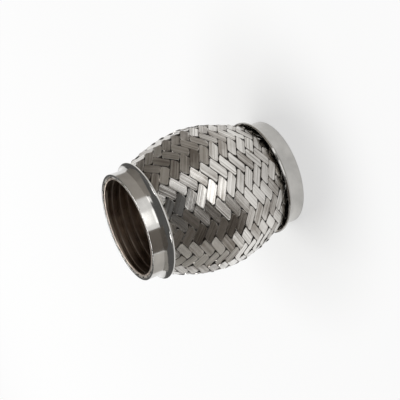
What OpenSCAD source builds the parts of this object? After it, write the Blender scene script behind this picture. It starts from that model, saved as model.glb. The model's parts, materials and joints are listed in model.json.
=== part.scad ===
// Exhaust flex pipe: a gas-tight bellows between an interlocked strip liner and a woven outer braid,
// gripped at both ends by flared sheet collars. It stands on its outlet end, with its axis along Z.

/* [Overall] */
// Length from rim to rim
length = 100; // [90:1:200]
// Inside diameter of the gas passage
bore_d = 57; // [45:0.5:75]
// Radial clearance between the layers nested in a collar
fit_gap = 0.05; // [0.02:0.01:0.15]
// How far the inner layers end short of the collar rims
end_recess = 0.4; // [0.1:0.1:1.5]

/* [Collars] */
// Sheet thickness of a collar
collar_wall = 1.3; // [0.8:0.1:2]
// Straight part of a collar, from its rim to its flare
neck_length = 6.5; // [4:0.5:14]
// Bend radius of the flare, on its outer face
flare_radius = 5; // [4:0.1:9]
// Angle through which the flare turns outwards
flare_angle = 70; // [30:1:75]

/* [Braid] */
// Number of strips wound each way
strips = 24; // [16:2:30]
// Rows of crossings along the woven part
weave_rows = 13; // [9:2:19]
// Angle of the first column of crossings from the front
weave_turn = -16.25; // [-30:0.25:30]
// Thickness of the braid where a collar grips it
braid_grip = 0.95; // [0.7:0.05:1.5]
// How far the braid lies below the neck's face where it leaves the lip
shoulder_drop = 0.3; // [0:0.1:1]
// Rise of the braid from the lip to its fattest place
braid_bulge = 11.1; // [5:0.1:15]
// Fullness of the barrel, higher is squarer
barrel_power = 1.85; // [1.5:0.05:3]
// Height of a strip above the gaps beside it
strip_relief = 0.9; // [0.5:0.05:1.2]
// How far a strip dips where it passes under the next
strip_dip = 0.45; // [0.2:0.05:0.5]
// Thickness of the wall under the gaps
braid_web = 0.5; // [0.3:0.05:0.8]
// How far the weave starts inside the lip
weave_tuck = 0.7; // [0.2:0.1:1.2]
// Rows of open gaps round the fattest place
gap_rows = 5; // [1:2:5]
// Length of an open gap along the strip beside it
gap_size = 1.5; // [0.6:0.1:2.4]

/* [Bellows] */
// Sheet thickness of the bellows
bellows_wall = 0.3; // [0.2:0.05:0.5]
// Number of convolutions
convolutions = 12; // [8:1:14]
// Greatest height of a convolution
convolution_height = 9.5; // [5:0.5:11]
// Clearance between the convolutions and the braid
bellows_gap = 0.5; // [0.4:0.1:2]
// Length of the plain cuff past the collar lip
cuff_reach = 2.5; // [2:0.5:5]

/* [Liner] */
// Thickness of the liner over its folds
liner_depth = 0.8; // [0.6:0.05:1.2]
// Thickness of the liner strip
liner_strip = 0.35; // [0.2:0.05:0.4]
// Spacing of the liner's turns
liner_pitch = 5; // [4:0.5:8]
// Width of the seam between two turns
liner_seam = 1.4; // [0.8:0.1:2]

/* [Hidden] */
$fn = 96;
overcut = 1;

// Radii from the bore outwards
bore_r = bore_d / 2;
liner_r = bore_r + liner_depth;
cuff_in_r = liner_r + fit_gap;
cuff_r = cuff_in_r + bellows_wall;
grip_in_r = cuff_r + fit_gap;
grip_r = grip_in_r + braid_grip;
collar_in_r = grip_r + fit_gap;
neck_r = collar_in_r + collar_wall;

// Flare of a collar, measured from the rim
bend_r = neck_r + flare_radius;
flare_in_radius = flare_radius + collar_wall;
lip_z = neck_length + flare_radius * sin(flare_angle);
lip_end_z = neck_length + flare_in_radius * sin(flare_angle);

// Barrel of the braid
middle = length / 2;
shoulder_r = neck_r - shoulder_drop;
braid_wall = strip_relief + braid_web;

// Weave: gaps lie where column plus row is even, crossings where it is odd
columns = 2 * strips;
half_rows = 2 * weave_rows;
column_angle = 360 / columns;
weave_start = lip_z - weave_tuck;
half_row = (length - 2 * weave_start) / half_rows;
sleeve_end = (neck_length + weave_start) / 2;
first_gap_row = weave_rows - (gap_rows - 1) / 2;
fattest_r = shoulder_r + braid_bulge;
crossing_edge = norm([fattest_r * column_angle * PI / 180, half_row]);
gap_share = gap_size / 2 / crossing_edge;

// A float is the stretch of a strip that shows over two crossings: where its crown is set out,
// as shares of its length and width, and how deep the crown lies there
float_stations = [-0.4, -0.2, 0.2, 0.4];
float_depths = [strip_dip, 0, 0, strip_dip];
float_edge = 0.38;
cell_edge = 0.7;

// Bellows and liner
bellows_start = lip_z + cuff_reach;
convolution_pitch = (length - 2 * bellows_start) / convolutions;
cuff_mid_r = cuff_in_r + bellows_wall / 2;
wave_steps = 12;
wave_steepness = 0.8;
liner_length = length - 2 * end_recess;
liner_turns = round((liner_length + liner_seam) / liner_pitch);
turn_pitch = (liner_length + liner_seam) / liner_turns;
liner_land = turn_pitch - liner_seam;

// Inside radius of a collar at a distance from its rim, up to the end of its lip
function collar_inside(d) =
    d <= neck_length ? collar_in_r
    : bend_r - sqrt(pow(flare_in_radius, 2) - pow(d - neck_length, 2));

// Radius of the bare barrel, and of the braid, which also stays inside the collars
function barrel_r(z) =
    let (share = abs(z - middle) / (middle - lip_z))
    shoulder_r + braid_bulge * (1 - pow(share, barrel_power));
function braid_r(z) =
    let (d = min(z, length - z), r = max(barrel_r(z), grip_r))
    d < lip_end_z ? min(r, collar_inside(d) - fit_gap) : r;

// Point of the weave at a column, row and depth under the crowns
function round_point(m, r, z) =
    let (angle = column_angle * m + weave_turn - 90)
    [r * cos(angle), r * sin(angle), z];
function weave_point(m, n, depth) =
    let (z = weave_start + n * half_row)
    round_point(m, braid_r(z) - depth, z);

// Lattice of gap centres, and the four directions in which an open gap has a corner
function has_gap(n) = n >= first_gap_row && n < first_gap_row + gap_rows;
function lattice(depth) = concat(
    [for (n = [0:half_rows]) for (k = [0:strips - 1]) weave_point(2 * k + n % 2, n, depth)],
    [for (n = [first_gap_row:first_gap_row + gap_rows - 1])
        for (k = [0:strips - 1])
            for (side = [0:3])
                weave_point(2 * k + n % 2 + gap_share * (2 * (side % 2) - 1),
                            n + gap_share * (2 * floor(side / 2) - 1), depth)]);
node_count = (half_rows + 1) * strips;
lattice_count = node_count + 4 * gap_rows * strips;

// Where a lattice point stands in the list of points
function column_of(m) = floor(((m + columns) % columns) / 2);
function at_node(p) = p[1] * strips + column_of(p[0]);
function at_gap(p, q) =
    node_count + 4 * ((p[1] - first_gap_row) * strips + column_of(p[0]))
    + (q[0] > p[0] ? 1 : 0) + (q[1] > p[1] ? 2 : 0);

// Corners of an outline: one point each, or two where a gap cuts the corner off
function corners(loop) =
    [for (i = [0:len(loop) - 1])
        let (p = loop[i], before = loop[(i + len(loop) - 1) % len(loop)], after = loop[(i + 1) % len(loop)])
        has_gap(p[1]) ? [at_gap(p, before), at_gap(p, after)] : [at_node(p)]];
function last(list) = list[len(list) - 1];

// Floats as column, row and lean, and the single crossings left at both ends of the weave
function crossings(whole) =
    [for (m = [0:2:columns - 1])
        for (n = [1:2:half_rows - 1])
            let (lean = m % 4 == 0 ? 1 : -1, far = n + lean)
            if ((far > 0 && far < half_rows) == whole) [m, n, lean]];
floats = crossings(true);
singles = crossings(false);

function float_outline(f) =
    let (m = f[0], n = f[1], s = f[2])
    [[m - 1, n], [m, n + s], [m + 1, n + 2 * s], [m + 2, n + s], [m + 1, n], [m, n - s]];
function cell_outline(f) =
    let (m = f[0], n = f[1])
    [[m - 1, n], [m, n + 1], [m + 1, n], [m, n - 1]];

// Crown of a float, out along one edge of the strip and back along the other
function float_point(f, along, across, depth) =
    weave_point(f[0] + 0.5 + 2 * along - across, f[1] + f[2] * (0.5 + 2 * along + across), depth);
function float_crown(f) = concat(
    [for (i = [0:3]) float_point(f, float_stations[i], float_edge, float_depths[i])],
    [for (i = [3:-1:0]) float_point(f, float_stations[i], -float_edge, float_depths[i])]);
function cell_crown(f) =
    [for (p = cell_outline(f))
        weave_point(f[0] + cell_edge * (p[0] - f[0]), f[1] + cell_edge * (p[1] - f[1]), strip_dip)];

// Sloping sides between a crown and the corners of its outline: each crown point has its own run of corners
function sides(crown, runs) =
    [for (i = [0:len(crown) - 1])
        each concat(
            [for (j = [0:1:len(runs[i]) - 2]) [crown[i], runs[i][j], runs[i][j + 1]]],
            [[crown[i], last(runs[i]), crown[(i + 1) % len(crown)]]])];
function float_runs(c) =
    [c[0], [last(c[0]), c[1][0]], concat(c[1], [c[2][0]]), c[2],
     concat([last(c[2])], c[3]), [last(c[3]), c[4][0]], concat(c[4], [c[5][0]]), concat(c[5], [c[0][0]])];
function cell_runs(c) =
    [for (i = [0:len(c) - 1]) concat(c[i], [c[(i + 1) % len(c)][0]])];

// Faces turned over where a strip leans the other way
function turned(faces, lean) =
    lean > 0 ? faces : [for (f = faces) [f[2], f[1], f[0]]];

// Walls of the open gaps along one outline
function gap_walls(c) =
    [for (pair = c)
        if (len(pair) == 2)
            each [[pair[1], pair[0], pair[0] + lattice_count],
                  [pair[1], pair[0] + lattice_count, pair[1] + lattice_count]]];

// All faces of a float: its crown, its sides, its back and the walls of the gaps beside it
function float_faces(f, top, back) =
    let (c = corners(float_outline(f)),
         crown = [for (i = [0:7]) top + i],
         loop = [for (pair = c) each pair])
    turned(concat(
        [for (i = [0:2]) each [[top + i, top + i + 1, top + 6 - i], [top + i, top + 6 - i, top + 7 - i]]],
        sides(crown, float_runs(c)),
        [for (i = [0:len(loop) - 1])
            [back, loop[(i + 1) % len(loop)] + lattice_count, loop[i] + lattice_count]],
        gap_walls(c)), f[2]);
function single_faces(f, top) =
    let (c = corners(cell_outline(f)), b = [for (pair = c) pair[0] + lattice_count])
    concat(
        [[top, top + 1, top + 2], [top, top + 2, top + 3], [b[0], b[2], b[1]], [b[0], b[3], b[2]]],
        sides([for (i = [0:3]) top + i], cell_runs(c)));

// Where the crowns, the backs and the rings of the plain sleeves start in the list of points
crown_start = 2 * lattice_count;
back_start = crown_start + 8 * len(floats);
single_start = back_start + len(floats);
ring_start = single_start + 4 * len(singles);

// Rings of the sleeves in the collars: radius and height, from the outlet's outside to the inlet's outside
sleeve_in_r = grip_in_r / cos(column_angle / 2);
outlet_rings = [[grip_r, sleeve_end], [grip_r, end_recess], [sleeve_in_r, end_recess], [sleeve_in_r, sleeve_end]];
inlet_rings = [for (i = [3:-1:0]) [outlet_rings[i][0], length - outlet_rings[i][1]]];
sleeve_rings = concat(outlet_rings, inlet_rings);
function ring(i) = [for (m = [0:columns - 1]) ring_start + columns * i + m];
function weave_edge(row, inward, shift) =
    [for (m = [0:columns - 1]) at_node([m, m % 2 == 0 ? row : row + inward]) + shift];
function bands(rows) =
    [for (i = [0:len(rows) - 2])
        for (m = [0:columns - 1])
            let (u = rows[i], v = rows[i + 1], next = (m + 1) % columns)
            each [[u[m], u[next], v[next]], [u[m], v[next], v[m]]]];

braid_points = concat(
    lattice(strip_relief),
    lattice(braid_wall),
    [for (f = floats) each float_crown(f)],
    [for (f = floats) float_point(f, 0, 0, braid_wall)],
    [for (f = singles) each cell_crown(f)],
    [for (s = sleeve_rings) for (m = [0:columns - 1]) round_point(m, s[0], s[1])]);
braid_faces = concat(
    [for (i = [0:len(floats) - 1]) each float_faces(floats[i], crown_start + 8 * i, back_start + i)],
    [for (i = [0:len(singles) - 1]) each single_faces(singles[i], single_start + 4 * i)],
    bands([weave_edge(0, 1, 0), ring(0), ring(1), ring(2), ring(3), weave_edge(0, 1, lattice_count)]),
    bands([weave_edge(half_rows, -1, lattice_count), ring(4), ring(5), ring(6), ring(7),
           weave_edge(half_rows, -1, 0)]));

// Middle line of the bellows wall: a U-shaped wave whose height stays under the braid
function wave_height(i) =
    let (z = bellows_start + (i + 0.5) * convolution_pitch,
         cover = min(braid_r(z - convolution_pitch / 4), braid_r(z + convolution_pitch / 4)))
    min(convolution_height, cover - braid_wall - bellows_gap - bellows_wall / 2 - cuff_mid_r);
function wave_point(i, t) =
    [cuff_mid_r + wave_height(i) * (1 - cos(360 * t)) / 2,
     bellows_start + convolution_pitch * (i + t + wave_steepness * sin(720 * t) / (4 * PI))];
function wave_slope(i, t) =
    [wave_height(i) * PI * sin(360 * t), convolution_pitch * (1 + wave_steepness * cos(720 * t))];
function wave_side(offset) =
    [for (i = [0:convolutions - 1])
        for (k = [0:wave_steps - (i < convolutions - 1 ? 1 : 0)])
            let (t = k / wave_steps, slope = wave_slope(i, t))
            wave_point(i, t) + offset * [slope[1], -slope[0]] / norm(slope)];
function bellows_side(offset) = concat(
    [[cuff_mid_r + offset, end_recess]],
    wave_side(offset),
    [[cuff_mid_r + offset, length - end_recess]]);
function reversed(list) = [for (i = [len(list) - 1:-1:0]) list[i]];

// One collar with its rim at Z = 0 and its flare above
module collar() {
    rotate_extrude() {
        translate([collar_in_r, 0])
            square([collar_wall, neck_length]);
        translate([bend_r, neck_length])
            intersection() {
                difference() {
                    circle(flare_in_radius);
                    circle(flare_radius);
                }
                polygon([[0, 0], [-2 * flare_in_radius, 0],
                         2 * flare_in_radius * [-cos(flare_angle), sin(flare_angle)]]);
            }
    }
}

module inlet_collar() {
    color("#bdbbb6")
        translate([0, 0, length])
            mirror([0, 0, 1])
                collar();
}

module outlet_collar() {
    color("#bdbbb6")
        collar();
}

module outer_braid() {
    color("#a29f9a")
        polyhedron(braid_points, braid_faces, convexity = 8);
}

module bellows() {
    color("#8f8b85")
        rotate_extrude()
            polygon(concat(bellows_side(bellows_wall / 2), reversed(bellows_side(-bellows_wall / 2))));
}

// Folded strip, drawn as level turns: a land on the bore, then a seam that stands out to the next turn
module interlock_liner() {
    seam_r = liner_r - liner_strip;
    hollow_r = bore_r + liner_strip;
    color("#5a5048")
        rotate_extrude()
            difference() {
                translate([bore_r, end_recess])
                    square([liner_depth, liner_length]);
                for (k = [1:liner_turns - 1])
                    translate([bore_r - overcut, end_recess + k * turn_pitch - liner_seam])
                        square([seam_r - bore_r + overcut, liner_seam]);
                for (k = [0:liner_turns - 1])
                    translate([hollow_r, end_recess + k * turn_pitch + liner_strip])
                        square([liner_depth, liner_land - 2 * liner_strip]);
            }
}

inlet_collar();
outlet_collar();
outer_braid();
bellows();
interlock_liner();
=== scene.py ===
import json
import math
import random

import bmesh
import bpy
import numpy as np
from mathutils import Matrix, Vector


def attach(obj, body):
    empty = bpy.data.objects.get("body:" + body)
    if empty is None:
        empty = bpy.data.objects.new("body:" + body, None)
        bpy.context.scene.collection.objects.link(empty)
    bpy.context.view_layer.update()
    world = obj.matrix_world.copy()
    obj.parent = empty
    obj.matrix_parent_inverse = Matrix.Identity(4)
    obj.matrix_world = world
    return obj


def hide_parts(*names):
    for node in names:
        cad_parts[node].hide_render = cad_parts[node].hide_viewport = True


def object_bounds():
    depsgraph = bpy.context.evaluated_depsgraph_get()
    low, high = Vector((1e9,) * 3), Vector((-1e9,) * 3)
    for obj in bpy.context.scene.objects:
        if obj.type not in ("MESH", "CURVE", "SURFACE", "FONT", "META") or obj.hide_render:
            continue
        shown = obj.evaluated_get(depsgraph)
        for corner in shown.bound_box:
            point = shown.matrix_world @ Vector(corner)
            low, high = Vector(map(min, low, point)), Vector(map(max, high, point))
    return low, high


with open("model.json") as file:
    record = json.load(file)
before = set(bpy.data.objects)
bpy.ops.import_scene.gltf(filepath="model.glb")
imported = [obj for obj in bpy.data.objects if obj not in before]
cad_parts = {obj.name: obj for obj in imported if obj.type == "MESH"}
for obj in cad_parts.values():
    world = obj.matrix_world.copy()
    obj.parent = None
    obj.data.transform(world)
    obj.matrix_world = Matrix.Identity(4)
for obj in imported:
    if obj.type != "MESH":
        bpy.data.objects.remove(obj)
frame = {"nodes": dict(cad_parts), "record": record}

bl_info = {
    "name": "Exhaust flex pipe",
    "version": (1, 0, 0),
    "blender": (4, 5, 0),
    "location": "View3D > Sidebar > Flex pipe",
    "description": "Dresses the flex pipe's frame in woven strips, polished collars and a folded liner",
    "category": "Add Mesh",
}

# Sizes that the frame gives, in metres
MM = 0.001
CAD_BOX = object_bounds()
MOUNTS = {mount["name"]: mount["dims"] for mount in frame["record"]["mounts"] if mount["dims"]}
LENGTH = CAD_BOX[1].z - CAD_BOX[0].z
MIDDLE = LENGTH / 2
BORE_R = MOUNTS["gas_bore"]["r_mm"] * MM
END_RECESS = (LENGTH - MOUNTS["gas_bore"]["length_mm"] * MM) / 2
NECK_R = MOUNTS["inlet_neck"]["r_mm"] * MM
NECK_LENGTH = MOUNTS["inlet_neck"]["length_mm"] * MM


def linear(code):
    """Linear colour of an sRGB hex code."""
    shares = [int(code[i:i + 2], 16) / 255 for i in (1, 3, 5)]
    return [s / 12.92 if s <= 0.04045 else ((s + 0.055) / 1.055) ** 2.4 for s in shares]


# Sizes and colours that a user would change

class PipeForm(bpy.types.PropertyGroup):
    """Forms that the pieces share with the frame."""
    collar_wall: bpy.props.FloatProperty(
        name="Collar wall", description="Sheet thickness of a collar", default=1.3 * MM, unit="LENGTH")
    flare_radius: bpy.props.FloatProperty(
        name="Flare radius", description="Bend radius of the flare, on its outer face",
        default=5.0 * MM, unit="LENGTH")
    flare_angle: bpy.props.FloatProperty(
        name="Flare angle", description="Angle through which the flare turns outwards",
        default=math.radians(70), subtype="ANGLE")
    fit_gap: bpy.props.FloatProperty(
        name="Fit gap", description="Clearance between the layers nested in a collar",
        default=0.05 * MM, unit="LENGTH")
    shoulder_drop: bpy.props.FloatProperty(
        name="Shoulder drop",
        description="How far the braid lies below the neck's face where it leaves the lip",
        default=0.3 * MM, unit="LENGTH")
    bulge: bpy.props.FloatProperty(
        name="Bulge", description="Rise of the braid from the lip to its fattest place",
        default=11.1 * MM, unit="LENGTH")
    fullness: bpy.props.FloatProperty(
        name="Fullness", description="Power of the barrel's curve, higher is squarer", default=1.85)


class BraidSizes(bpy.types.PropertyGroup):
    """The woven sleeve: strips of parallel wires, each over two and under two."""
    strips: bpy.props.IntProperty(
        name="Strips", description="Number of strips wound each way", default=24, min=8)
    rows: bpy.props.IntProperty(
        name="Rows", description="Rows of crossings between the lips", default=13, min=5)
    turn: bpy.props.FloatProperty(
        name="Turn", description="Angle of the first column of crossings from the front",
        default=math.radians(-16.25), subtype="ANGLE")
    tuck: bpy.props.FloatProperty(
        name="Tuck", description="How far the first row lies inside the lip",
        default=0.7 * MM, unit="LENGTH")
    wires: bpy.props.IntProperty(
        name="Wires", description="Wires side by side in a strip", default=8, min=3)
    width: bpy.props.FloatProperty(
        name="Strip width", description="Width of a strip", default=5.15 * MM, unit="LENGTH")
    thickness: bpy.props.FloatProperty(
        name="Strip thickness", description="Thickness of a strip", default=0.45 * MM, unit="LENGTH")
    layer_gap: bpy.props.FloatProperty(
        name="Layer gap", description="Clearance between two strips that cross",
        default=0.3 * MM, unit="LENGTH")
    pinch: bpy.props.FloatProperty(
        name="Pinch", description="Share of its width that a strip loses where it dives",
        default=0.7, min=0, max=0.8, subtype="FACTOR")
    groove: bpy.props.FloatProperty(
        name="Wire groove", description="Depth of the groove between two wires",
        default=0.025 * MM, unit="LENGTH")
    crown: bpy.props.FloatProperty(
        name="Strip crown", description="Rise of a strip's middle wires over its outer ones",
        default=0.02 * MM, unit="LENGTH")
    nod: bpy.props.FloatProperty(
        name="Float nod", description="How far single floats dip at one end",
        default=math.radians(2.6), subtype="ANGLE")
    lean: bpy.props.FloatProperty(
        name="Float lean", description="How far single floats turn about their own length",
        default=math.radians(5), subtype="ANGLE")
    wander: bpy.props.FloatProperty(
        name="Wander", description="How far a strip drifts sideways", default=0.12 * MM, unit="LENGTH")
    wire_lift: bpy.props.FloatProperty(
        name="Wire lift", description="How far single wires stand out of line",
        default=0.012 * MM, unit="LENGTH")
    seed: bpy.props.IntProperty(
        name="Seed", description="Start of the random differences between strips", default=11)


class CollarSizes(bpy.types.PropertyGroup):
    """The two flared end collars."""
    edge: bpy.props.FloatProperty(
        name="Edge round", description="Radius on the edges of the sheet",
        default=0.22 * MM, unit="LENGTH")
    segments: bpy.props.IntProperty(
        name="Segments", description="Faces round a collar", default=192, min=48)


class LinerSizes(bpy.types.PropertyGroup):
    """The interlocked strip liner of the gas passage."""
    depth: bpy.props.FloatProperty(
        name="Depth", description="Thickness of the liner over its folds", default=0.8 * MM, unit="LENGTH")
    strip: bpy.props.FloatProperty(
        name="Strip", description="Thickness of the liner strip", default=0.35 * MM, unit="LENGTH")
    turns: bpy.props.IntProperty(
        name="Turns", description="Turns of the strip along the pipe", default=20, min=5)
    seam: bpy.props.FloatProperty(
        name="Seam", description="Width of the seam between two turns", default=1.4 * MM, unit="LENGTH")
    fold: bpy.props.FloatProperty(
        name="Fold radius", description="Radius of the folds beside a seam",
        default=0.42 * MM, unit="LENGTH")
    segments: bpy.props.IntProperty(
        name="Segments", description="Faces round the liner", default=144, min=48)


class PipeFinishes(bpy.types.PropertyGroup):
    """Colours of the bare metals."""
    collar: bpy.props.FloatVectorProperty(
        name="Collar steel", description="Colour of the polished collars",
        default=linear("#d3d1cd"), subtype="COLOR", min=0, max=1)
    wire: bpy.props.FloatVectorProperty(
        name="Wire steel", description="Colour of the drawn wire",
        default=linear("#e2dfda"), subtype="COLOR", min=0, max=1)
    wire_tarnish: bpy.props.FloatVectorProperty(
        name="Wire tarnish", description="Colour of the duller wire",
        default=linear("#98928b"), subtype="COLOR", min=0, max=1)
    liner: bpy.props.FloatVectorProperty(
        name="Liner steel", description="Colour of the browned liner strip",
        default=linear("#bdafa2"), subtype="COLOR", min=0, max=1)
    liner_dark: bpy.props.FloatVectorProperty(
        name="Liner heat tint", description="Colour of the darker heat tint",
        default=linear("#91857b"), subtype="COLOR", min=0, max=1)
    # Partly the sheet's own dull grey and partly painted shade: the bellows show only through the holes
    # between the strips, and the darker colour keeps those holes dark
    bellows: bpy.props.FloatVectorProperty(
        name="Bellows steel", description="Colour of the dull bellows sheet",
        default=linear("#6c655d"), subtype="COLOR", min=0, max=1)


class StageSettings(bpy.types.PropertyGroup):
    """Floor, light and camera."""
    floor: bpy.props.FloatVectorProperty(
        name="Floor", description="Colour of the floor",
        default=linear("#f2f2f0"), subtype="COLOR", min=0, max=1)
    floor_white: bpy.props.FloatProperty(
        name="Floor white", description="Share of plain white in the floor away from the pipe",
        default=0.9, min=0, max=1, subtype="FACTOR")
    foot_white: bpy.props.FloatProperty(
        name="Foot white", description="Share of plain white in the floor at the pipe's foot",
        default=0.62, min=0, max=1, subtype="FACTOR")
    room: bpy.props.FloatProperty(
        name="Room", description="Brightness of the room round the floor", default=0.12, min=0)
    top: bpy.props.FloatProperty(
        name="Top light", description="Power of the softbox behind and above the pipe",
        default=21.0, min=0, unit="POWER")
    low: bpy.props.FloatProperty(
        name="Low light", description="Power of the small softbox in front",
        default=0.052, min=0, unit="POWER")
    side: bpy.props.FloatProperty(
        name="Side light", description="Power of the narrow softbox beside it",
        default=0.09, min=0, unit="POWER")
    distance: bpy.props.FloatProperty(
        name="Camera distance", description="From the camera to the point it aims at",
        default=597 * MM, unit="LENGTH")
    aim: bpy.props.FloatProperty(
        name="Aim height", description="Height of the point on the axis that the camera aims at",
        default=51.6 * MM, unit="LENGTH")
    elevation: bpy.props.FloatProperty(
        name="Elevation", description="Angle of the camera above the floor",
        default=math.radians(22.67), subtype="ANGLE")
    roll: bpy.props.FloatProperty(
        name="Roll", description="Turn of the camera about its own line of sight",
        default=math.radians(-110.8), subtype="ANGLE")
    lens: bpy.props.FloatProperty(
        name="Lens", description="Focal length", default=91.4, unit="CAMERA")


class PipeSettings(bpy.types.PropertyGroup):
    """All settings of the flex pipe."""
    form: bpy.props.PointerProperty(type=PipeForm, name="Form", description="Forms shared with the frame")
    braid: bpy.props.PointerProperty(type=BraidSizes, name="Braid", description="Sizes of the woven sleeve")
    collars: bpy.props.PointerProperty(type=CollarSizes, name="Collars", description="Sizes of the collars")
    liner: bpy.props.PointerProperty(type=LinerSizes, name="Liner", description="Sizes of the liner")
    finishes: bpy.props.PointerProperty(
        type=PipeFinishes, name="Finishes", description="Colours of the metals")
    stage: bpy.props.PointerProperty(
        type=StageSettings, name="Stage", description="Floor, light and camera")


# Forms shared with the frame

def smooth_step(low, high, value):
    """0 below low, 1 above high and a smooth rise between."""
    share = np.clip((value - low) / (high - low), 0.0, 1.0)
    return share * share * (3 - 2 * share)


def lip_heights(form):
    """Distance from a rim to the outer and the inner edge of its lip."""
    rise = math.sin(form.flare_angle)
    outer = NECK_LENGTH + form.flare_radius * rise
    inner = NECK_LENGTH + (form.flare_radius + form.collar_wall) * rise
    return outer, inner


def collar_inside(form, d):
    """Inside radius of a collar at a distance from its rim."""
    outer_bend = form.flare_radius + form.collar_wall
    past_neck = np.clip(d - NECK_LENGTH, 0.0, outer_bend)
    return NECK_R + form.flare_radius - np.sqrt(outer_bend ** 2 - past_neck ** 2)


def braid_radius(form, z):
    """Radius over the strips: a barrel between the lips, held inside the collars."""
    lip, lip_end = lip_heights(form)
    share = np.abs(z - MIDDLE) / (MIDDLE - lip)
    barrel = NECK_R - form.shoulder_drop + form.bulge * (1 - share ** form.fullness)
    radius = np.maximum(barrel, NECK_R - form.collar_wall - form.fit_gap)
    d = np.minimum(z, LENGTH - z)
    return np.where(d < lip_end, np.minimum(radius, collar_inside(form, d) - form.fit_gap), radius)


# Meshes

SHARP_ANGLE = math.radians(50)


def grid_faces(rows, columns, close_rows=False):
    """Quads of a grid of points whose columns close into rings."""
    row = np.arange(rows if close_rows else rows - 1)[:, None]
    column = np.arange(columns)[None, :]
    above = (row + 1) % rows
    beside = (column + 1) % columns
    corners = (row * columns + column, row * columns + beside,
               above * columns + beside, above * columns + column)
    return np.stack(np.broadcast_arrays(*corners), axis=-1).reshape(-1, 4).tolist()


def new_piece(name, points, faces, material, node):
    """A piece of the pipe that stands for a node of the frame."""
    mesh = bpy.data.meshes.new(name)
    mesh.from_pydata(points, [], faces)
    mesh.shade_smooth()
    mesh.set_sharp_from_angle(angle=SHARP_ANGLE)
    mesh.materials.append(material)
    piece = bpy.data.objects.new(name, mesh)
    bpy.context.scene.collection.objects.link(piece)
    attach(piece, "root")
    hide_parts(node)
    return piece


def round_points(radius, angle, z):
    """Points at a radius, an angle and a height, as rows of x, y and z."""
    return np.stack([radius * np.cos(angle), radius * np.sin(angle), z], axis=-1)


# The woven strips

# Along a strip, in crossings from the middle of a float
FLOAT_FLAT = 0.84  # where the plane of a float meets the barrel
FLOAT_END = 0.99  # where the strip dives
FLOAT_BEND = 0.045  # half the length of the dive
PINCH_REACH = 0.1  # over which a strip narrows beside the dive
PINCH_HOLD = 1.25  # a pinch above 1 is cut off, so that the narrowest place has a length
FLOAT_STATIONS = [0.4, 0.8, 0.9]
DIVE_STATIONS = [1.08, 1.18, 1.5]
BEND_STATIONS = 6

NECK_STATIONS = 5
WIRE_PARTS = (0, 0.25, 0.5, 0.75)
FLOATS_KEPT = 32  # bundle numbers kept for each strip, one for each of its floats
FIRST_FLOAT = {1: 0.5, -1: 2.5}  # crossings by which the weave of either hand is shifted
STRIP_FILL = 0.98  # most of its pitch that a strip fills
HELD_GAP = 0.03 * MM  # between two layers that a collar grips
HOLD_END = (-3 * MM, 4 * MM)  # from the lip, where the collar's grip fades
LEVEL_ROWS = 2  # over which the cross-lines level out at a cut end
SWING = (0.5, 1.0)
SWING_ROWS = (2.5, 4.5)
WIRE_WAVE = 0.4
WIRE_WAVE_ROWS = 1.7


def wire_section(wires):
    """Section of a strip: places across from -1 to 1, depths in grooves and in strip thicknesses, wires."""
    across, grooves, thicknesses, wire = [], [], [], []
    for i in range(wires):
        for part in WIRE_PARTS:
            across.append(2 * (i + part) / wires - 1)
            grooves.append((2 * part - 1) ** 2)
            thicknesses.append(0)
            wire.append(i)
    grooves[0] = 0
    thicknesses[0] = 0.5
    inset = 0.5 / wires
    for place, depth in ((1, 0.5), (1 - inset, 1), (0, 1), (inset - 1, 1)):
        across.append(place)
        grooves.append(0)
        thicknesses.append(depth)
        wire.append(min(int((place + 1) / 2 * wires), wires - 1))
    return np.array(across), np.array(grooves), np.array(thicknesses), np.array(wire)


def weave_grid(form, braid):
    """Height of the first row of crossings, height of a row and angle of a column."""
    start = lip_heights(form)[0] - braid.tuck
    return start, (LENGTH - 2 * start) / (2 * braid.rows), math.pi / braid.strips


def station_rows(hand, offset, rows):
    """Rows at which a strip has points: close together at its bends, and wide apart between them."""
    bend = FLOAT_END + FLOAT_BEND * np.linspace(-1, 1, BEND_STATIONS)
    half = np.concatenate([FLOAT_STATIONS, bend, DIVE_STATIONS])
    cycle = np.concatenate([-half[::-1], [0], half, [2]])
    phases = np.concatenate([4 * k + cycle for k in range(-rows, rows + 1)])
    found = np.sort(hand * (phases - offset))
    return found[(found > -1) & (found < rows + 1)]


def strip_rows(form, braid, hand, offset):
    """Rows of a strip's points from one cut end to the other."""
    start, row_height, _ = weave_grid(form, braid)
    first = (END_RECESS - start) / row_height
    last = (LENGTH - END_RECESS - start) / row_height
    shown = station_rows(hand, offset, 2 * braid.rows)
    necks = np.linspace(0, 1, NECK_STATIONS, endpoint=False)
    low = first + necks * (shown[0] - first)
    high = last - necks * (last - shown[-1])
    return np.concatenate([low, shown, high[::-1]])


def draws(dice, low, high, count):
    """A row of random numbers."""
    return np.array([dice.uniform(low, high) for _ in range(count)])


def float_plane(form, braid, middle_z, turn, z):
    """Radius of a float's plane below the barrel's curve, at a turn from its middle and a height."""
    _, row_height, column = weave_grid(form, braid)
    radius = braid_radius(form, middle_z)
    above = braid_radius(form, middle_z + row_height)
    below = braid_radius(form, middle_z - row_height)
    sag = radius * column ** 2 / 2 + radius - (above + below) / 2
    rise = (above - below) / (2 * row_height)
    return (radius - FLOAT_FLAT ** 2 * sag + rise * (z - middle_z)) / np.cos(turn)


def wire_sinks(braid, row, wire, dice):
    """How far the wires of a strip lie below its face."""
    lifts = draws(dice, -1, 1, braid.wires)
    waves = draws(dice, 0, 2 * math.pi, braid.wires)
    wave = 1 - WIRE_WAVE + WIRE_WAVE * np.sin(row[:, None] / WIRE_WAVE_ROWS + waves[wire])
    return braid.wire_lift * (1 + lifts[wire] * wave)


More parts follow.
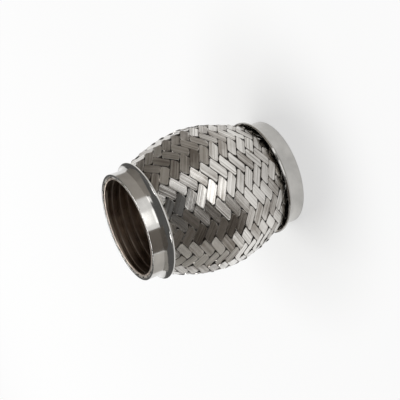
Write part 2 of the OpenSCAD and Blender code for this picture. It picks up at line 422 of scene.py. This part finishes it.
def strip_points(form, braid, hand, number, dice):
    """Points of one strip, station by station round its section, with their places across and along it."""
    start, row_height, column = weave_grid(form, braid)
    offset = 2 * number + 1 - FIRST_FLOAT[hand]
    row = strip_rows(form, braid, hand, offset)
    centre_z = start + row * row_height
    radius = braid_radius(form, centre_z)
    lip, _ = lip_heights(form)
    free = smooth_step(lip + HOLD_END[0], lip + HOLD_END[1], np.minimum(centre_z, LENGTH - centre_z))

    # A strip lies over from x = -1 to 1, in crossings from its float's middle, and under for the next 2
    phase = offset + hand * row
    x = (phase + 2) % 4 - 2
    under = smooth_step(FLOAT_END - FLOAT_BEND, FLOAT_END + FLOAT_BEND, np.abs(x))
    floats = np.floor((phase + 2) / 4).astype(int)
    floats -= floats.min()
    nods = braid.nod * draws(dice, -1, 1, floats.max() + 1)
    leans = braid.lean * draws(dice, -1, 1, floats.max() + 1)

    # Strips lie a pitch apart, 2 units of the weave, so their width is given in those units
    crossing = np.hypot(radius * column, row_height)
    pitch = 2 * radius * column * row_height / crossing
    near_dive = np.clip(PINCH_HOLD - np.abs(np.abs(x) - FLOAT_END) / PINCH_REACH, 0, 1)
    half = np.minimum(braid.width / pitch, STRIP_FILL) * (1 - braid.pinch * free * near_dive)
    across, grooves, thicknesses, wire = wire_section(braid.wires)
    swing = dice.uniform(*SWING) * np.sin(row / dice.uniform(*SWING_ROWS) + dice.uniform(0, 2 * math.pi))
    drift = braid.wander * swing * 2 / pitch
    side = across[None, :] * half[:, None] + (drift * free)[:, None]

    # Cross-lines run along the strips that this one crosses, and level out at the cut ends
    slant = smooth_step(0, LEVEL_ROWS, np.minimum(row - row[0], row[-1] - row))[:, None]
    rows = row[:, None] - hand * slant * side / 2
    columns = 2 * number + 1 + side + hand * rows
    z = start + rows * row_height
    angle = column * columns + braid.turn - math.pi / 2

    # Each float lies flat in its plane, and the strip sinks from there to the layer below
    middle = (row - hand * x)[:, None]
    middle_angle = column * (2 * number + 1 + hand * middle) + braid.turn - math.pi / 2
    flat = float_plane(form, braid, start + middle * row_height, angle - middle_angle, z)
    tilt = (nods[floats] * x * crossing)[:, None] + (leans[floats] * braid.width / 2)[:, None] * across
    barrel = braid_radius(form, z)
    over = (free * (1 - under))[:, None] * (barrel - flat + tilt + across ** 2 * braid.crown)
    level = under * (braid.thickness + HELD_GAP + free * (braid.layer_gap - HELD_GAP))
    sinks = np.where(thicknesses > 0, 0, wire_sinks(braid, row, wire, dice))
    depth = (over + level[:, None] + free[:, None] * sinks
             + grooves * braid.groove + thicknesses * braid.thickness)
    points = round_points(barrel - depth, angle, z)

    steps = np.linalg.norm(np.diff(points[:, 0], axis=0), axis=1)
    along = np.concatenate([[0], np.cumsum(steps)])
    bundle = (number + 1) * FLOATS_KEPT + floats[:, None]
    places = np.broadcast_arrays((across + 1) / 2 * braid.width, along[:, None], bundle)
    return points, np.stack(places, axis=-1)


def weave_strip(settings, hand, number, material, dice):
    """One strip of the braid as a closed piece, with its lay and its cut ends marked for the finish."""
    points, weave = strip_points(settings.form, settings.braid, hand, number, dice)
    stations, ring = points.shape[:2]
    faces = grid_faces(stations, ring)
    faces.append(list(range(ring))[::-1])
    faces.append(list(range((stations - 1) * ring, stations * ring)))
    name = f"{'right' if hand > 0 else 'left'}_hand_strip_{number + 1:02d}"
    piece = new_piece(name, points.reshape(-1, 3), faces, material, "outer_braid")
    lay = piece.data.attributes.new("lay", "FLOAT_VECTOR", "POINT")
    lay.data.foreach_set("vector", weave.astype(np.float32).ravel())
    ends = np.zeros((stations, ring), np.float32)
    ends[[0, -1]] = 1
    cut = piece.data.attributes.new("cut", "FLOAT", "POINT")
    cut.data.foreach_set("value", ends.ravel())


# The collars

NECK_STEPS = 14
FLARE_STEPS = 24
EDGE_STEPS = 5


def arc(centre, radius, start, end, steps):
    """Points on an arc, in degrees, as pairs of radius and height."""
    turn = np.radians(np.linspace(start, end, steps))
    return np.stack([centre[0] + radius * np.cos(turn), centre[1] + radius * np.sin(turn)], axis=-1)


def collar_outline(form, edge):
    """Closed outline of a collar with its rim at 0, down the outside and up the inside."""
    wall = form.collar_wall
    bend = (NECK_R + form.flare_radius, NECK_LENGTH)
    inner = form.flare_radius + wall
    lip = 180 - math.degrees(form.flare_angle)
    rounding = math.degrees(edge / form.flare_radius)

    def lip_corner(radius, start, end):
        turn = math.radians(lip + rounding)
        centre = (bend[0] + radius * math.cos(turn), bend[1] + radius * math.sin(turn))
        return arc(centre, edge, lip + start, lip + end, EDGE_STEPS)

    neck = np.linspace(NECK_LENGTH, edge, NECK_STEPS)[1:-1]
    outside = np.stack([np.full_like(neck, NECK_R), neck], axis=-1)
    inside = np.stack([np.full_like(neck, NECK_R - wall), neck[::-1]], axis=-1)
    return np.concatenate([
        lip_corner(inner - edge, 0, -90),
        lip_corner(form.flare_radius + edge, -90, -180),
        arc(bend, form.flare_radius, lip + 2 * rounding, 180, FLARE_STEPS),
        outside,
        arc((NECK_R - edge, edge), edge, 0, -90, EDGE_STEPS),
        arc((NECK_R - wall + edge, edge), edge, -90, -180, EDGE_STEPS),
        inside,
        arc(bend, inner, 180, lip + 2 * rounding, FLARE_STEPS),
    ])


def turn_collar(settings, name, node, upside_down, material):
    """A collar turned about the axis, standing on its rim or turned over."""
    outline = collar_outline(settings.form, settings.collars.edge)
    if upside_down:
        outline = np.stack([outline[:, 0], LENGTH - outline[:, 1]], axis=-1)[::-1]
    segments = settings.collars.segments
    turn = np.linspace(0, 2 * math.pi, segments, endpoint=False)[:, None]
    heights = np.broadcast_to(outline[:, 1], (segments, len(outline)))
    points = round_points(outline[None, :, 0], turn, heights)
    faces = grid_faces(segments, len(outline), close_rows=True)
    new_piece(name, points.reshape(-1, 3), faces, material, node)


# The liner

FOLD_SHARES = np.array([0, 0.08, 0.25, 0.5, 1])
HOLLOW_CORNER = 0.05 * MM
MERGE_REACH = 0.0005 * MM


def wound_rows(places, levels, pitch, turns, shift, low, high):
    """Heights and radii of a profile that repeats at a pitch, climbs as it winds and is cut off level at
    both ends."""
    rows = np.concatenate([k * pitch + places for k in range(-1, turns + 1)])
    z = np.clip(rows[None, :] + shift, low, high)
    level = np.interp((z - shift) % pitch, np.append(places, pitch), np.append(levels, levels[-1]))
    return z, np.where((z == low) | (z == high), level, np.tile(levels, turns + 2))


def wind_liner(settings, material):
    """The liner's strip wound on a helix: lands on the bore, seams that stand out between them, and hollows
    behind the lands."""
    liner = settings.liner
    length = LENGTH - 2 * END_RECESS
    pitch = (length + liner.seam) / liner.turns
    land = pitch - liner.seam
    outside_r = BORE_R + liner.depth
    seam_r = outside_r - liner.strip
    hollow_r = BORE_R + liner.strip
    shift = pitch * np.linspace(0, 1, liner.segments + 1)[:, None]

    fold_r = BORE_R + liner.fold * (1 - np.sqrt(1 - (1 - FOLD_SHARES) ** 2))
    fold_z = FOLD_SHARES * liner.fold
    places = np.concatenate([[0], fold_z, land - fold_z[::-1], [land]])
    levels = np.concatenate([[seam_r], fold_r, fold_r[::-1], [seam_r]])
    inner_z, inner_r = wound_rows(places, levels, pitch, liner.turns, shift, 0, length)

    low, high = liner.strip, land - liner.strip
    places = np.array([low, low + HOLLOW_CORNER, high - HOLLOW_CORNER, high])
    levels = np.array([outside_r, hollow_r, hollow_r, outside_r])
    outer_z, outer_r = wound_rows(places, levels, pitch, liner.turns, shift,
                                  liner.strip, length - liner.strip)

    ends = np.zeros_like(shift)
    full = ends + outside_r
    z = np.concatenate([inner_z, ends + length, ends + length - liner.strip, outer_z[:, ::-1],
                        ends + liner.strip, ends], axis=1) + END_RECESS
    r = np.concatenate([inner_r, full, full, outer_r[:, ::-1], full, full], axis=1)
    turn = np.linspace(0, 2 * math.pi, liner.segments + 1)[:, None]
    points = round_points(r, turn, z).reshape(-1, 3)
    faces = [face[::-1] for face in grid_faces(*r.shape)]
    piece = new_piece("wound_liner", points, faces, material, "interlock_liner")
    form = bmesh.new()
    form.from_mesh(piece.data)
    bmesh.ops.remove_doubles(form, verts=form.verts, dist=MERGE_REACH)
    bmesh.ops.recalc_face_normals(form, faces=form.faces)
    form.to_mesh(piece.data)
    form.free()


# Finishes

# Between these lies most of what a noise texture gives
NOISE_LOW = 0.3
NOISE_HIGH = 0.7


def add(tree, kind, inputs=None, **settings):
    """Adds a node with its settings, and fills its sockets with values or with other nodes' outputs."""
    node = tree.nodes.new(kind)
    for name, value in settings.items():
        setattr(node, name, value)
    for socket, value in (inputs or {}).items():
        if isinstance(value, bpy.types.NodeSocket):
            tree.links.new(value, node.inputs[socket])
        else:
            node.inputs[socket].default_value = value
    return node


def new_material(name):
    """An empty material and its tree."""
    material = bpy.data.materials.new(name)
    material.use_nodes = True
    material.node_tree.nodes.clear()
    return material, material.node_tree


def opaque(colour):
    """A colour with full alpha."""
    return (*colour, 1.0)


def round_lay(tree, place, run, line):
    """Places on a round piece, in lengths and widths of the marks that run round it."""
    parts = add(tree, "ShaderNodeSeparateXYZ", {"Vector": place})
    angle = add(tree, "ShaderNodeMath", {0: parts.outputs["Y"], 1: parts.outputs["X"]}, operation="ARCTAN2")
    lay = add(tree, "ShaderNodeCombineXYZ", {"X": angle.outputs[0], "Y": parts.outputs["Z"]})
    stretched = add(tree, "ShaderNodeVectorMath",
                    {0: lay.outputs[0], 1: (1 / run, 1 / line, 1.0)}, operation="MULTIPLY")
    return stretched.outputs[0]


def bare_steel(tree, colour, roughness, height, strength, depth):
    """Surface of bare steel with fine relief, from its colour to the material's output."""
    relief = add(tree, "ShaderNodeBump", {"Height": height, "Strength": strength, "Distance": depth})
    shader = add(tree, "ShaderNodeBsdfPrincipled",
                 {"Base Color": colour, "Metallic": 1.0, "Roughness": roughness,
                  "Normal": relief.outputs[0]})
    add(tree, "ShaderNodeOutputMaterial", {"Surface": shader.outputs[0]})


def drawn_wire_steel(settings):
    """Stainless wire, drawn bright through a die and woven in flat bundles: a satin gloss in lines along
    each strip, wires of slightly different tone side by side, and brown-grey films in patches."""
    finishes, braid = settings.finishes, settings.braid
    wire_pitch = braid.width / braid.wires
    # Real die lines are finer, and are drawn this coarse to show
    drawing_line = 0.25 * MM
    drawing_run = 9 * MM
    patch = 14 * MM
    line_depth = 0.02 * MM
    float_share = 0.6
    bundle_step = 7.0
    material, tree = new_material("drawn_stainless_wire")
    lay = add(tree, "ShaderNodeAttribute", attribute_name="lay")
    parts = add(tree, "ShaderNodeSeparateXYZ", {"Vector": lay.outputs["Vector"]})
    place = add(tree, "ShaderNodeMath", {0: parts.outputs["X"], 1: wire_pitch}, operation="DIVIDE")
    number = add(tree, "ShaderNodeMath", {0: place.outputs[0]}, operation="FLOOR")
    bundle = add(tree, "ShaderNodeMath", {0: parts.outputs["Z"]}, operation="ROUND")
    wire = add(tree, "ShaderNodeCombineXYZ", {"X": number.outputs[0], "Y": bundle.outputs[0]})
    wire_tone = add(tree, "ShaderNodeTexWhiteNoise", {"Vector": wire.outputs[0]}, noise_dimensions="2D")
    float_tone = add(tree, "ShaderNodeTexWhiteNoise", {"W": bundle.outputs[0]}, noise_dimensions="1D")
    tone = add(tree, "ShaderNodeMix",
               {"Factor": float_share, "A": wire_tone.outputs["Value"], "B": float_tone.outputs["Value"]})
    stretched = add(tree, "ShaderNodeVectorMath",
                    {0: lay.outputs["Vector"], 1: (1 / drawing_line, 1 / drawing_run, bundle_step)},
                    operation="MULTIPLY")
    lines = add(tree, "ShaderNodeTexNoise", {"Vector": stretched.outputs[0], "Scale": 1.0, "Detail": 2.0})
    coords = add(tree, "ShaderNodeTexCoord")
    film = add(tree, "ShaderNodeTexNoise",
               {"Vector": coords.outputs["Object"], "Scale": 1 / patch, "Detail": 3.0})
    dullness = add(tree, "ShaderNodeMath",
                   {0: tone.outputs[0], 1: film.outputs["Fac"]}, operation="MULTIPLY")
    share = add(tree, "ShaderNodeMapRange",
                {"Value": dullness.outputs[0], "From Min": 0.1, "From Max": 0.42})
    colour = add(tree, "ShaderNodeMix",
                 {"Factor": share.outputs[0], "A": opaque(finishes.wire),
                  "B": opaque(finishes.wire_tarnish)}, data_type="RGBA")
    gloss = add(tree, "ShaderNodeMapRange",
                {"Value": lines.outputs["Fac"], "From Min": NOISE_LOW, "From Max": NOISE_HIGH,
                 "To Min": 0.14, "To Max": 0.26})
    cut = add(tree, "ShaderNodeAttribute", attribute_name="cut")
    dull_ends = add(tree, "ShaderNodeMath",
                    {0: gloss.outputs[0], 1: cut.outputs["Fac"]}, operation="ADD", use_clamp=True)
    bare_steel(tree, colour.outputs["Result"], dull_ends.outputs[0], lines.outputs["Fac"],
               strength=0.2, depth=line_depth)
    return material


def polished_sheet_steel(settings):
    """Stainless sheet, spun to shape and polished: near-mirror reflections with clean edges, slightly
    broken by fine lines round the collar and by faint handling marks."""
    # Real polishing lines are finer, and are drawn this coarse to show
    polish_line = 0.3 * MM
    polish_run = math.radians(25)
    smudge = 9 * MM
    line_depth = 0.01 * MM
    smudge_share = 0.82
    dulled = [smudge_share * c for c in settings.finishes.collar]
    material, tree = new_material("polished_stainless_sheet")
    place = add(tree, "ShaderNodeTexCoord").outputs["Object"]
    lay = round_lay(tree, place, polish_run, polish_line)
    lines = add(tree, "ShaderNodeTexNoise", {"Vector": lay, "Scale": 1.0, "Detail": 2.0})
    marks = add(tree, "ShaderNodeTexNoise", {"Vector": place, "Scale": 1 / smudge, "Detail": 5.0})
    shine = add(tree, "ShaderNodeMath",
                {0: lines.outputs["Fac"], 1: marks.outputs["Fac"]}, operation="MULTIPLY")
    gloss = add(tree, "ShaderNodeMapRange",
                {"Value": shine.outputs[0], "From Min": 0.1, "From Max": 0.45,
                 "To Min": 0.08, "To Max": 0.2})
    tone = add(tree, "ShaderNodeMapRange",
               {"Value": marks.outputs["Fac"], "From Min": 0.35, "From Max": 0.7})
    colour = add(tree, "ShaderNodeMix",
                 {"Factor": tone.outputs[0], "A": opaque(settings.finishes.collar), "B": opaque(dulled)},
                 data_type="RGBA")
    bare_steel(tree, colour.outputs["Result"], gloss.outputs[0], lines.outputs["Fac"],
               strength=0.12, depth=line_depth)
    return material


def browned_strip_steel(settings):
    """Stainless strip, cold rolled and folded, with a brown film of oil and heat: a soft metal gloss in
    streaks along the strip, darker in patches."""
    # Real roll marks are finer, and are drawn this coarse to show
    roll_line = 0.4 * MM
    roll_run = math.radians(18)
    patch = 16 * MM
    line_depth = 0.02 * MM
    finishes = settings.finishes
    material, tree = new_material("browned_stainless_strip")
    place = add(tree, "ShaderNodeTexCoord").outputs["Object"]
    lay = round_lay(tree, place, roll_run, roll_line)
    lines = add(tree, "ShaderNodeTexNoise", {"Vector": lay, "Scale": 1.0, "Detail": 3.0})
    film = add(tree, "ShaderNodeTexNoise", {"Vector": place, "Scale": 1 / patch, "Detail": 4.0})
    share = add(tree, "ShaderNodeMapRange",
                {"Value": film.outputs["Fac"], "From Min": 0.35, "From Max": 0.65})
    colour = add(tree, "ShaderNodeMix",
                 {"Factor": share.outputs[0], "A": opaque(finishes.liner),
                  "B": opaque(finishes.liner_dark)}, data_type="RGBA")
    gloss = add(tree, "ShaderNodeMapRange",
                {"Value": lines.outputs["Fac"], "From Min": NOISE_LOW, "From Max": NOISE_HIGH,
                 "To Min": 0.27, "To Max": 0.42})
    bare_steel(tree, colour.outputs["Result"], gloss.outputs[0], lines.outputs["Fac"],
               strength=0.25, depth=line_depth)
    return material


def formed_sheet_steel(settings):
    """Stainless sheet, hydroformed into waves and left dull: a soft grey gloss with a faint orange-peel
    grain, on a colour partly darkened as painted shade, so that the holes between the strips stay dark."""
    grain = 0.8 * MM
    grain_depth = 0.03 * MM
    grain_share = 0.7
    dulled = [grain_share * c for c in settings.finishes.bellows]
    material, tree = new_material("formed_stainless_sheet")
    place = add(tree, "ShaderNodeTexCoord").outputs["Object"]
    peel = add(tree, "ShaderNodeTexNoise", {"Vector": place, "Scale": 1 / grain, "Detail": 3.0})
    tone = add(tree, "ShaderNodeMapRange",
               {"Value": peel.outputs["Fac"], "From Min": NOISE_LOW, "From Max": NOISE_HIGH})
    colour = add(tree, "ShaderNodeMix",
                 # The base colour is partly painted shade for the holes between the strips
                 {"Factor": tone.outputs[0], "A": opaque(settings.finishes.bellows), "B": opaque(dulled)},
                 data_type="RGBA")
    gloss = add(tree, "ShaderNodeMapRange",
                {"Value": peel.outputs["Fac"], "From Min": NOISE_LOW, "From Max": NOISE_HIGH,
                 "To Min": 0.35, "To Max": 0.5})
    bare_steel(tree, colour.outputs["Result"], gloss.outputs[0], peel.outputs["Fac"],
               strength=0.2, depth=grain_depth)
    return material


# Stage

SHADE_REACH = (33 * MM, 120 * MM)
FLOOR_R = 6000 * MM
FLOOR_SIDES = 96
WALL_HEIGHT = 500 * MM
FLAG_R = 400 * MM
FLAG_LIFT = 0.5 * MM
FLAG_STEPS = 25
# Cloth, height in mm, and near edge as azimuths from the front in degrees and radii in mm, all outside the
# picture
BLACK_FLAG = ("#7a746e", 450, ((-70, 155), (-60, 140), (-50, 130), (-40, 125), (-30, 125), (-21, 130)))
PALE_FLAG = ("#e2dfdb", 200, ((-130, 215), (-122, 190), (-112, 174), (-100, 162), (-86, 156), (-72, 157)))
GREY_FLAG = ("#bbb6b0", 450, ((44, 128), (52, 120), (80, 116), (92, 122), (102, 134), (112, 150),
                              (122, 180), (130, 215)))
# Places and sizes of the softboxes in mm
TOP_SOFTBOX = ((0, 850, 1250), (900, 900))
LOW_SOFTBOX = ((10, -300, 60), (150, 120))
SIDE_SOFTBOX = ((265, -365, 170), (90, 300))


def floor_card(stage):
    """Matt white card. What is seen of it, directly or in the metal, is lifted to white away from the pipe,
    so that the pipe's shadow stays round its foot."""
    material, tree = new_material("matt_white_card")
    path = add(tree, "ShaderNodeLightPath")
    shiny = add(tree, "ShaderNodeMath",
                {0: path.outputs["Is Glossy Ray"], 1: path.outputs["Is Transmission Ray"]},
                operation="MAXIMUM")
    seen = add(tree, "ShaderNodeMath",
               {0: shiny.outputs[0], 1: path.outputs["Is Camera Ray"]}, operation="MAXIMUM")
    place = add(tree, "ShaderNodeNewGeometry")
    distance = add(tree, "ShaderNodeVectorMath", {0: place.outputs["Position"]}, operation="LENGTH")
    reach = add(tree, "ShaderNodeMapRange",
                {"Value": distance.outputs["Value"], "From Min": SHADE_REACH[0], "From Max": SHADE_REACH[1],
                 "To Min": stage.foot_white, "To Max": stage.floor_white}, interpolation_type="SMOOTHSTEP")
    outside = add(tree, "ShaderNodeMath",
                  {0: distance.outputs["Value"], 1: NECK_R}, operation="GREATER_THAN")
    lift = add(tree, "ShaderNodeMath", {0: reach.outputs[0], 1: outside.outputs[0]}, operation="MULTIPLY")
    share = add(tree, "ShaderNodeMath", {0: seen.outputs[0], 1: lift.outputs[0]}, operation="MULTIPLY")
    matt = add(tree, "ShaderNodeBsdfDiffuse", {"Color": opaque(stage.floor), "Roughness": 0.5})
    white = add(tree, "ShaderNodeEmission", {"Color": (1, 1, 1, 1), "Strength": 1.0})
    mixed = add(tree, "ShaderNodeMixShader", {0: share.outputs[0], 1: matt.outputs[0], 2: white.outputs[0]})
    add(tree, "ShaderNodeOutputMaterial", {"Surface": mixed.outputs[0]})
    return material


def flag_cloth(name, code):
    """Matt cloth of a studio flag."""
    material, tree = new_material(name)
    matt = add(tree, "ShaderNodeBsdfDiffuse", {"Color": opaque(linear(code)), "Roughness": 1.0})
    add(tree, "ShaderNodeOutputMaterial", {"Surface": matt.outputs[0]})
    return material


def stage_sheet(name, points, faces, material):
    """A sheet of the stage, which isn't part of the pipe."""
    mesh = bpy.data.meshes.new(name)
    mesh.from_pydata(points, [], faces)
    mesh.materials.append(material)
    sheet = bpy.data.objects.new(name, mesh)
    bpy.context.scene.collection.objects.link(sheet)
    return sheet


def walled_floor(material):
    """A round floor with a wall of the same card far away all round it."""
    turn = np.linspace(0, 2 * math.pi, FLOOR_SIDES, endpoint=False)
    points = [(FLOOR_R * math.cos(a), FLOOR_R * math.sin(a), z) for z in (0, WALL_HEIGHT) for a in turn]
    faces = [list(range(FLOOR_SIDES))]
    for i in range(FLOOR_SIDES):
        beside = (i + 1) % FLOOR_SIDES
        faces.append((i, beside, FLOOR_SIDES + beside, FLOOR_SIDES + i))
    stage_sheet("floor", points, faces, material)


def cove_flag(tone, flag):
    """A studio flag that lies on the floor from its near edge to FLAG_R and stands up there, outside the
    picture. Only the metal shows it: it hides nothing in views from other sides and leaves no shadow."""
    code, height, edge = flag
    turn = np.linspace(edge[0][0], edge[-1][0], FLAG_STEPS)
    near = np.interp(turn, *zip(*edge)) * MM
    points = []
    for radius, level in ((near, FLAG_LIFT), (FLAG_R, FLAG_LIFT), (FLAG_R, height * MM)):
        rim = round_points(radius, np.radians(turn - 90), level + 0 * turn)
        points += rim.tolist()
    faces = []
    for k in range(2):
        for i in range(FLAG_STEPS - 1):
            low, high = k * FLAG_STEPS + i, (k + 1) * FLAG_STEPS + i
            faces.append((low, low + 1, high + 1, high))
    sheet = stage_sheet(f"{tone}_flag", points, faces, flag_cloth(f"{tone}_cloth", code))
    sheet.visible_camera = False
    sheet.visible_diffuse = False
    sheet.visible_shadow = False


def softbox(name, place, size, power):
    """A softbox that faces the middle of the pipe."""
    light = bpy.data.lights.new(name, "AREA")
    light.shape = "RECTANGLE"
    light.size = size[0] * MM
    light.size_y = size[1] * MM
    light.energy = power
    lamp = bpy.data.objects.new(name, light)
    lamp.location = Vector(place) * MM
    aim = Vector((0, 0, MIDDLE)) - lamp.location
    lamp.rotation_euler = aim.to_track_quat("-Z", "Y").to_euler()
    bpy.context.scene.collection.objects.link(lamp)


def photo_camera(stage):
    """The camera at the photo's viewing angle, rolled so that the standing pipe lies in the picture."""
    camera = bpy.data.objects.new("camera", bpy.data.cameras.new("camera"))
    camera.data.lens = stage.lens
    back = Vector((0, -math.cos(stage.elevation), math.sin(stage.elevation)))
    place = Vector((0, 0, stage.aim)) + stage.distance * back
    turn = back.to_track_quat("Z", "Y").to_matrix() @ Matrix.Rotation(stage.roll, 3, "Z")
    camera.matrix_world = Matrix.Translation(place) @ turn.to_4x4()
    bpy.context.scene.collection.objects.link(camera)
    bpy.context.scene.camera = camera


# Operators

class FLEXPIPE_OT_braid(bpy.types.Operator):
    """Weave the strips of the braid, half of them each way"""
    bl_idname = "flexpipe.braid"
    bl_label = "Weave braid"

    def execute(self, context):
        settings = context.scene.flex_pipe
        material = drawn_wire_steel(settings)
        dice = random.Random(settings.braid.seed)
        for hand in (1, -1):
            for number in range(settings.braid.strips):
                weave_strip(settings, hand, number, material, dice)
        return {"FINISHED"}


class FLEXPIPE_OT_collars(bpy.types.Operator):
    """Turn the two end collars"""
    bl_idname = "flexpipe.collars"
    bl_label = "Turn collars"

    def execute(self, context):
        settings = context.scene.flex_pipe
        material = polished_sheet_steel(settings)
        turn_collar(settings, "inlet_collar_sheet", "inlet_collar", True, material)
        turn_collar(settings, "outlet_collar_sheet", "outlet_collar", False, material)
        return {"FINISHED"}


class FLEXPIPE_OT_liner(bpy.types.Operator):
    """Wind the interlocked liner"""
    bl_idname = "flexpipe.liner"
    bl_label = "Wind liner"

    def execute(self, context):
        settings = context.scene.flex_pipe
        wind_liner(settings, browned_strip_steel(settings))
        return {"FINISHED"}


class FLEXPIPE_OT_bellows(bpy.types.Operator):
    """Finish the bellows of the frame"""
    bl_idname = "flexpipe.bellows"
    bl_label = "Finish bellows"

    def execute(self, context):
        bellows = frame["nodes"]["bellows"]
        bellows.data.materials.clear()
        bellows.data.materials.append(formed_sheet_steel(context.scene.flex_pipe))
        bellows.data.shade_smooth()
        return {"FINISHED"}


class FLEXPIPE_OT_stage(bpy.types.Operator):
    """Set up the floor, the light and the camera"""
    bl_idname = "flexpipe.stage"
    bl_label = "Set stage"

    def execute(self, context):
        stage = context.scene.flex_pipe.stage
        photo_camera(stage)
        walled_floor(floor_card(stage))
        cove_flag("black", BLACK_FLAG)
        cove_flag("pale", PALE_FLAG)
        cove_flag("grey", GREY_FLAG)
        softbox("top_softbox", *TOP_SOFTBOX, stage.top)
        softbox("low_softbox", *LOW_SOFTBOX, stage.low)
        softbox("side_softbox", *SIDE_SOFTBOX, stage.side)
        world = context.scene.world or bpy.data.worlds.new("room")
        context.scene.world = world
        world.use_nodes = True
        world.node_tree.nodes.clear()
        room = add(world.node_tree, "ShaderNodeBackground",
                   {"Color": (1, 1, 1, 1), "Strength": stage.room})
        add(world.node_tree, "ShaderNodeOutputWorld", {"Surface": room.outputs[0]})
        context.scene.view_settings.view_transform = "Standard"
        return {"FINISHED"}


class FLEXPIPE_PT_sidebar(bpy.types.Panel):
    """The steps of the flex pipe and their settings"""
    bl_idname = "FLEXPIPE_PT_sidebar"
    bl_label = "Flex pipe"
    bl_space_type = "VIEW_3D"
    bl_region_type = "UI"
    bl_category = "Flex pipe"

    def draw(self, context):
        settings = context.scene.flex_pipe
        for operator in OPERATORS:
            self.layout.operator(operator.bl_idname)
        for group in (settings.form, settings.braid, settings.collars, settings.liner, settings.finishes,
                      settings.stage):
            box = self.layout.box()
            for name in group.__annotations__:
                box.prop(group, name)


OPERATORS = (
    FLEXPIPE_OT_stage,
    FLEXPIPE_OT_bellows,
    FLEXPIPE_OT_liner,
    FLEXPIPE_OT_braid,
    FLEXPIPE_OT_collars,
)
CLASSES = (
    PipeForm,
    BraidSizes,
    CollarSizes,
    LinerSizes,
    PipeFinishes,
    StageSettings,
    PipeSettings,
    *OPERATORS,
    FLEXPIPE_PT_sidebar,
)


def register():
    for cls in CLASSES:
        bpy.utils.register_class(cls)
    bpy.types.Scene.flex_pipe = bpy.props.PointerProperty(type=PipeSettings)


def unregister():
    del bpy.types.Scene.flex_pipe
    for cls in reversed(CLASSES):
        bpy.utils.unregister_class(cls)


def main():
    register()
    bpy.ops.flexpipe.stage()
    bpy.ops.flexpipe.bellows()
    bpy.ops.flexpipe.liner()
    bpy.ops.flexpipe.braid()
    bpy.ops.flexpipe.collars()


if __name__ == "__main__":
    main()
